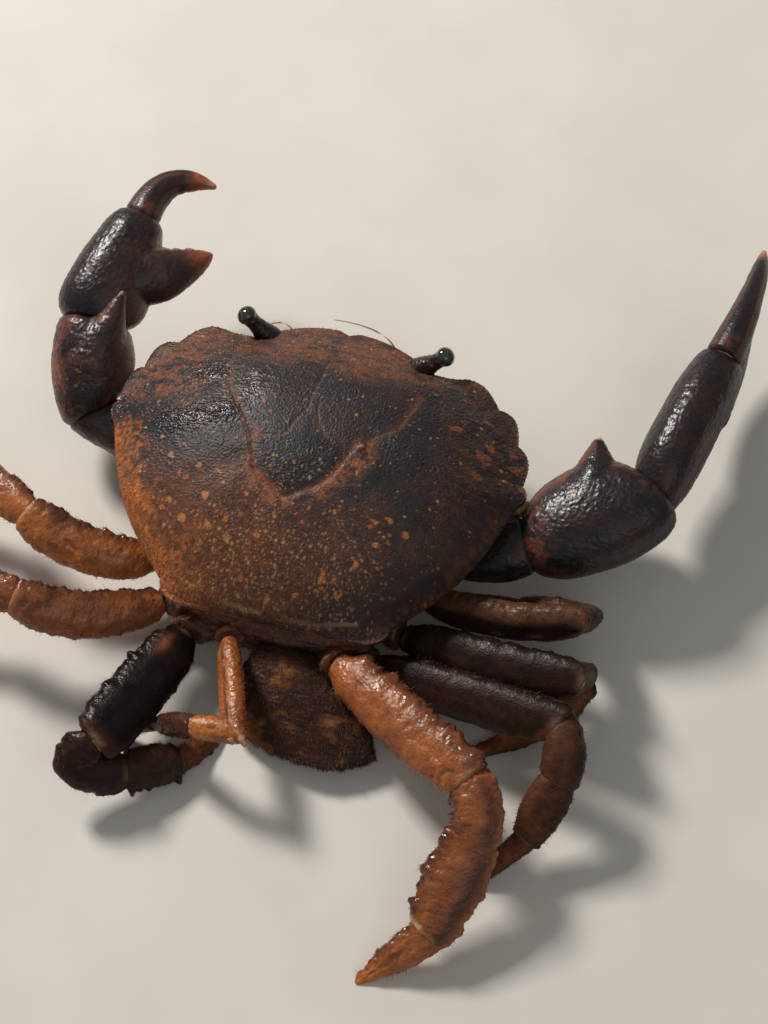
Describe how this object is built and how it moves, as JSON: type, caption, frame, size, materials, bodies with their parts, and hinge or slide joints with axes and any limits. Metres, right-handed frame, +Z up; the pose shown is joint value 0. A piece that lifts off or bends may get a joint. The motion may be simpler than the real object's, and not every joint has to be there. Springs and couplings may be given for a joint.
{
  "type": "mud crab",
  "caption": "Life-size mud crab squatting on its belly, claws raised to each side, legs trailing back and out, broad tail flap slightly open behind.",
  "frame": {"origin": "a point on the flat of the belly, under the middle of the body, where the animal rests on the floor", "axes": "+X to the animal's right, +Y forward towards the eyes, +Z up out of its back"},
  "size_m": [0.0828, 0.0818, 0.018],
  "materials": {
    "carapace_shell": "dark purple-brown shell, finely granular, wet in places, rusty towards the rear",
    "claw_shell": "glossy blue-black to purple-brown shell, finely granular",
    "finger_shell": "smooth dark shell, orange-pink towards the tips",
    "leg_shell": "orange-brown shell with fine bristles",
    "leg_dark_shell": "dark brown rough shell with orange tips",
    "belly_shell": "pale brown smooth shell",
    "flap_shell": "dark brown fuzzy shell with orange-tan patches",
    "eye_surface": "glossy black"
  },
  "bodies": {
    "root": {"antenna_left": "leg_shell", "antenna_right": "leg_shell", "carapace": "carapace_shell", "claw_left_carpus": "claw_shell", "claw_left_finger": "finger_shell", "claw_left_merus": "claw_shell", "claw_left_palm": "claw_shell", "claw_right_carpus": "claw_shell", "claw_right_finger": "finger_shell", "claw_right_merus": "claw_shell", "claw_right_palm": "claw_shell", "eye_left": "eye_surface", "eye_right": "eye_surface", "eyestalk_left": "claw_shell", "eyestalk_right": "claw_shell", "flap_front": "flap_shell", "flap_middle": "flap_shell", "leg_left_1_carpus": "leg_shell", "leg_left_1_dactyl": "leg_shell", "leg_left_1_merus": "leg_shell", "leg_left_1_propodus": "leg_shell", "leg_left_2_carpus": "leg_shell", "leg_left_2_dactyl": "leg_shell", "leg_left_2_merus": "leg_shell", "leg_left_2_propodus": "leg_shell", "leg_left_3_carpus": "leg_dark_shell", "leg_left_3_dactyl": "leg_dark_shell", "leg_left_3_merus": "leg_dark_shell", "leg_left_3_propodus": "leg_dark_shell", "leg_left_4_carpus": "leg_shell", "leg_left_4_dactyl": "leg_shell", "leg_left_4_merus": "leg_shell", "leg_left_4_propodus": "leg_shell", "leg_right_1_carpus": "leg_dark_shell", "leg_right_1_dactyl": "leg_dark_shell", "leg_right_1_merus": "leg_dark_shell", "leg_right_1_propodus": "leg_dark_shell", "leg_right_2_carpus": "leg_dark_shell", "leg_right_2_dactyl": "leg_dark_shell", "leg_right_2_merus": "leg_dark_shell", "leg_right_2_propodus": "leg_dark_shell", "leg_right_3_carpus": "leg_dark_shell", "leg_right_3_dactyl": "leg_dark_shell", "leg_right_3_merus": "leg_dark_shell", "leg_right_3_propodus": "leg_dark_shell", "leg_right_4_carpus": "leg_shell", "leg_right_4_dactyl": "leg_shell", "leg_right_4_merus": "leg_shell", "leg_right_4_propodus": "leg_shell", "mouth_plate_left": "belly_shell", "mouth_plate_right": "belly_shell", "telson": "flap_shell", "thorax": "belly_shell"}
  },
  "joints": []
}
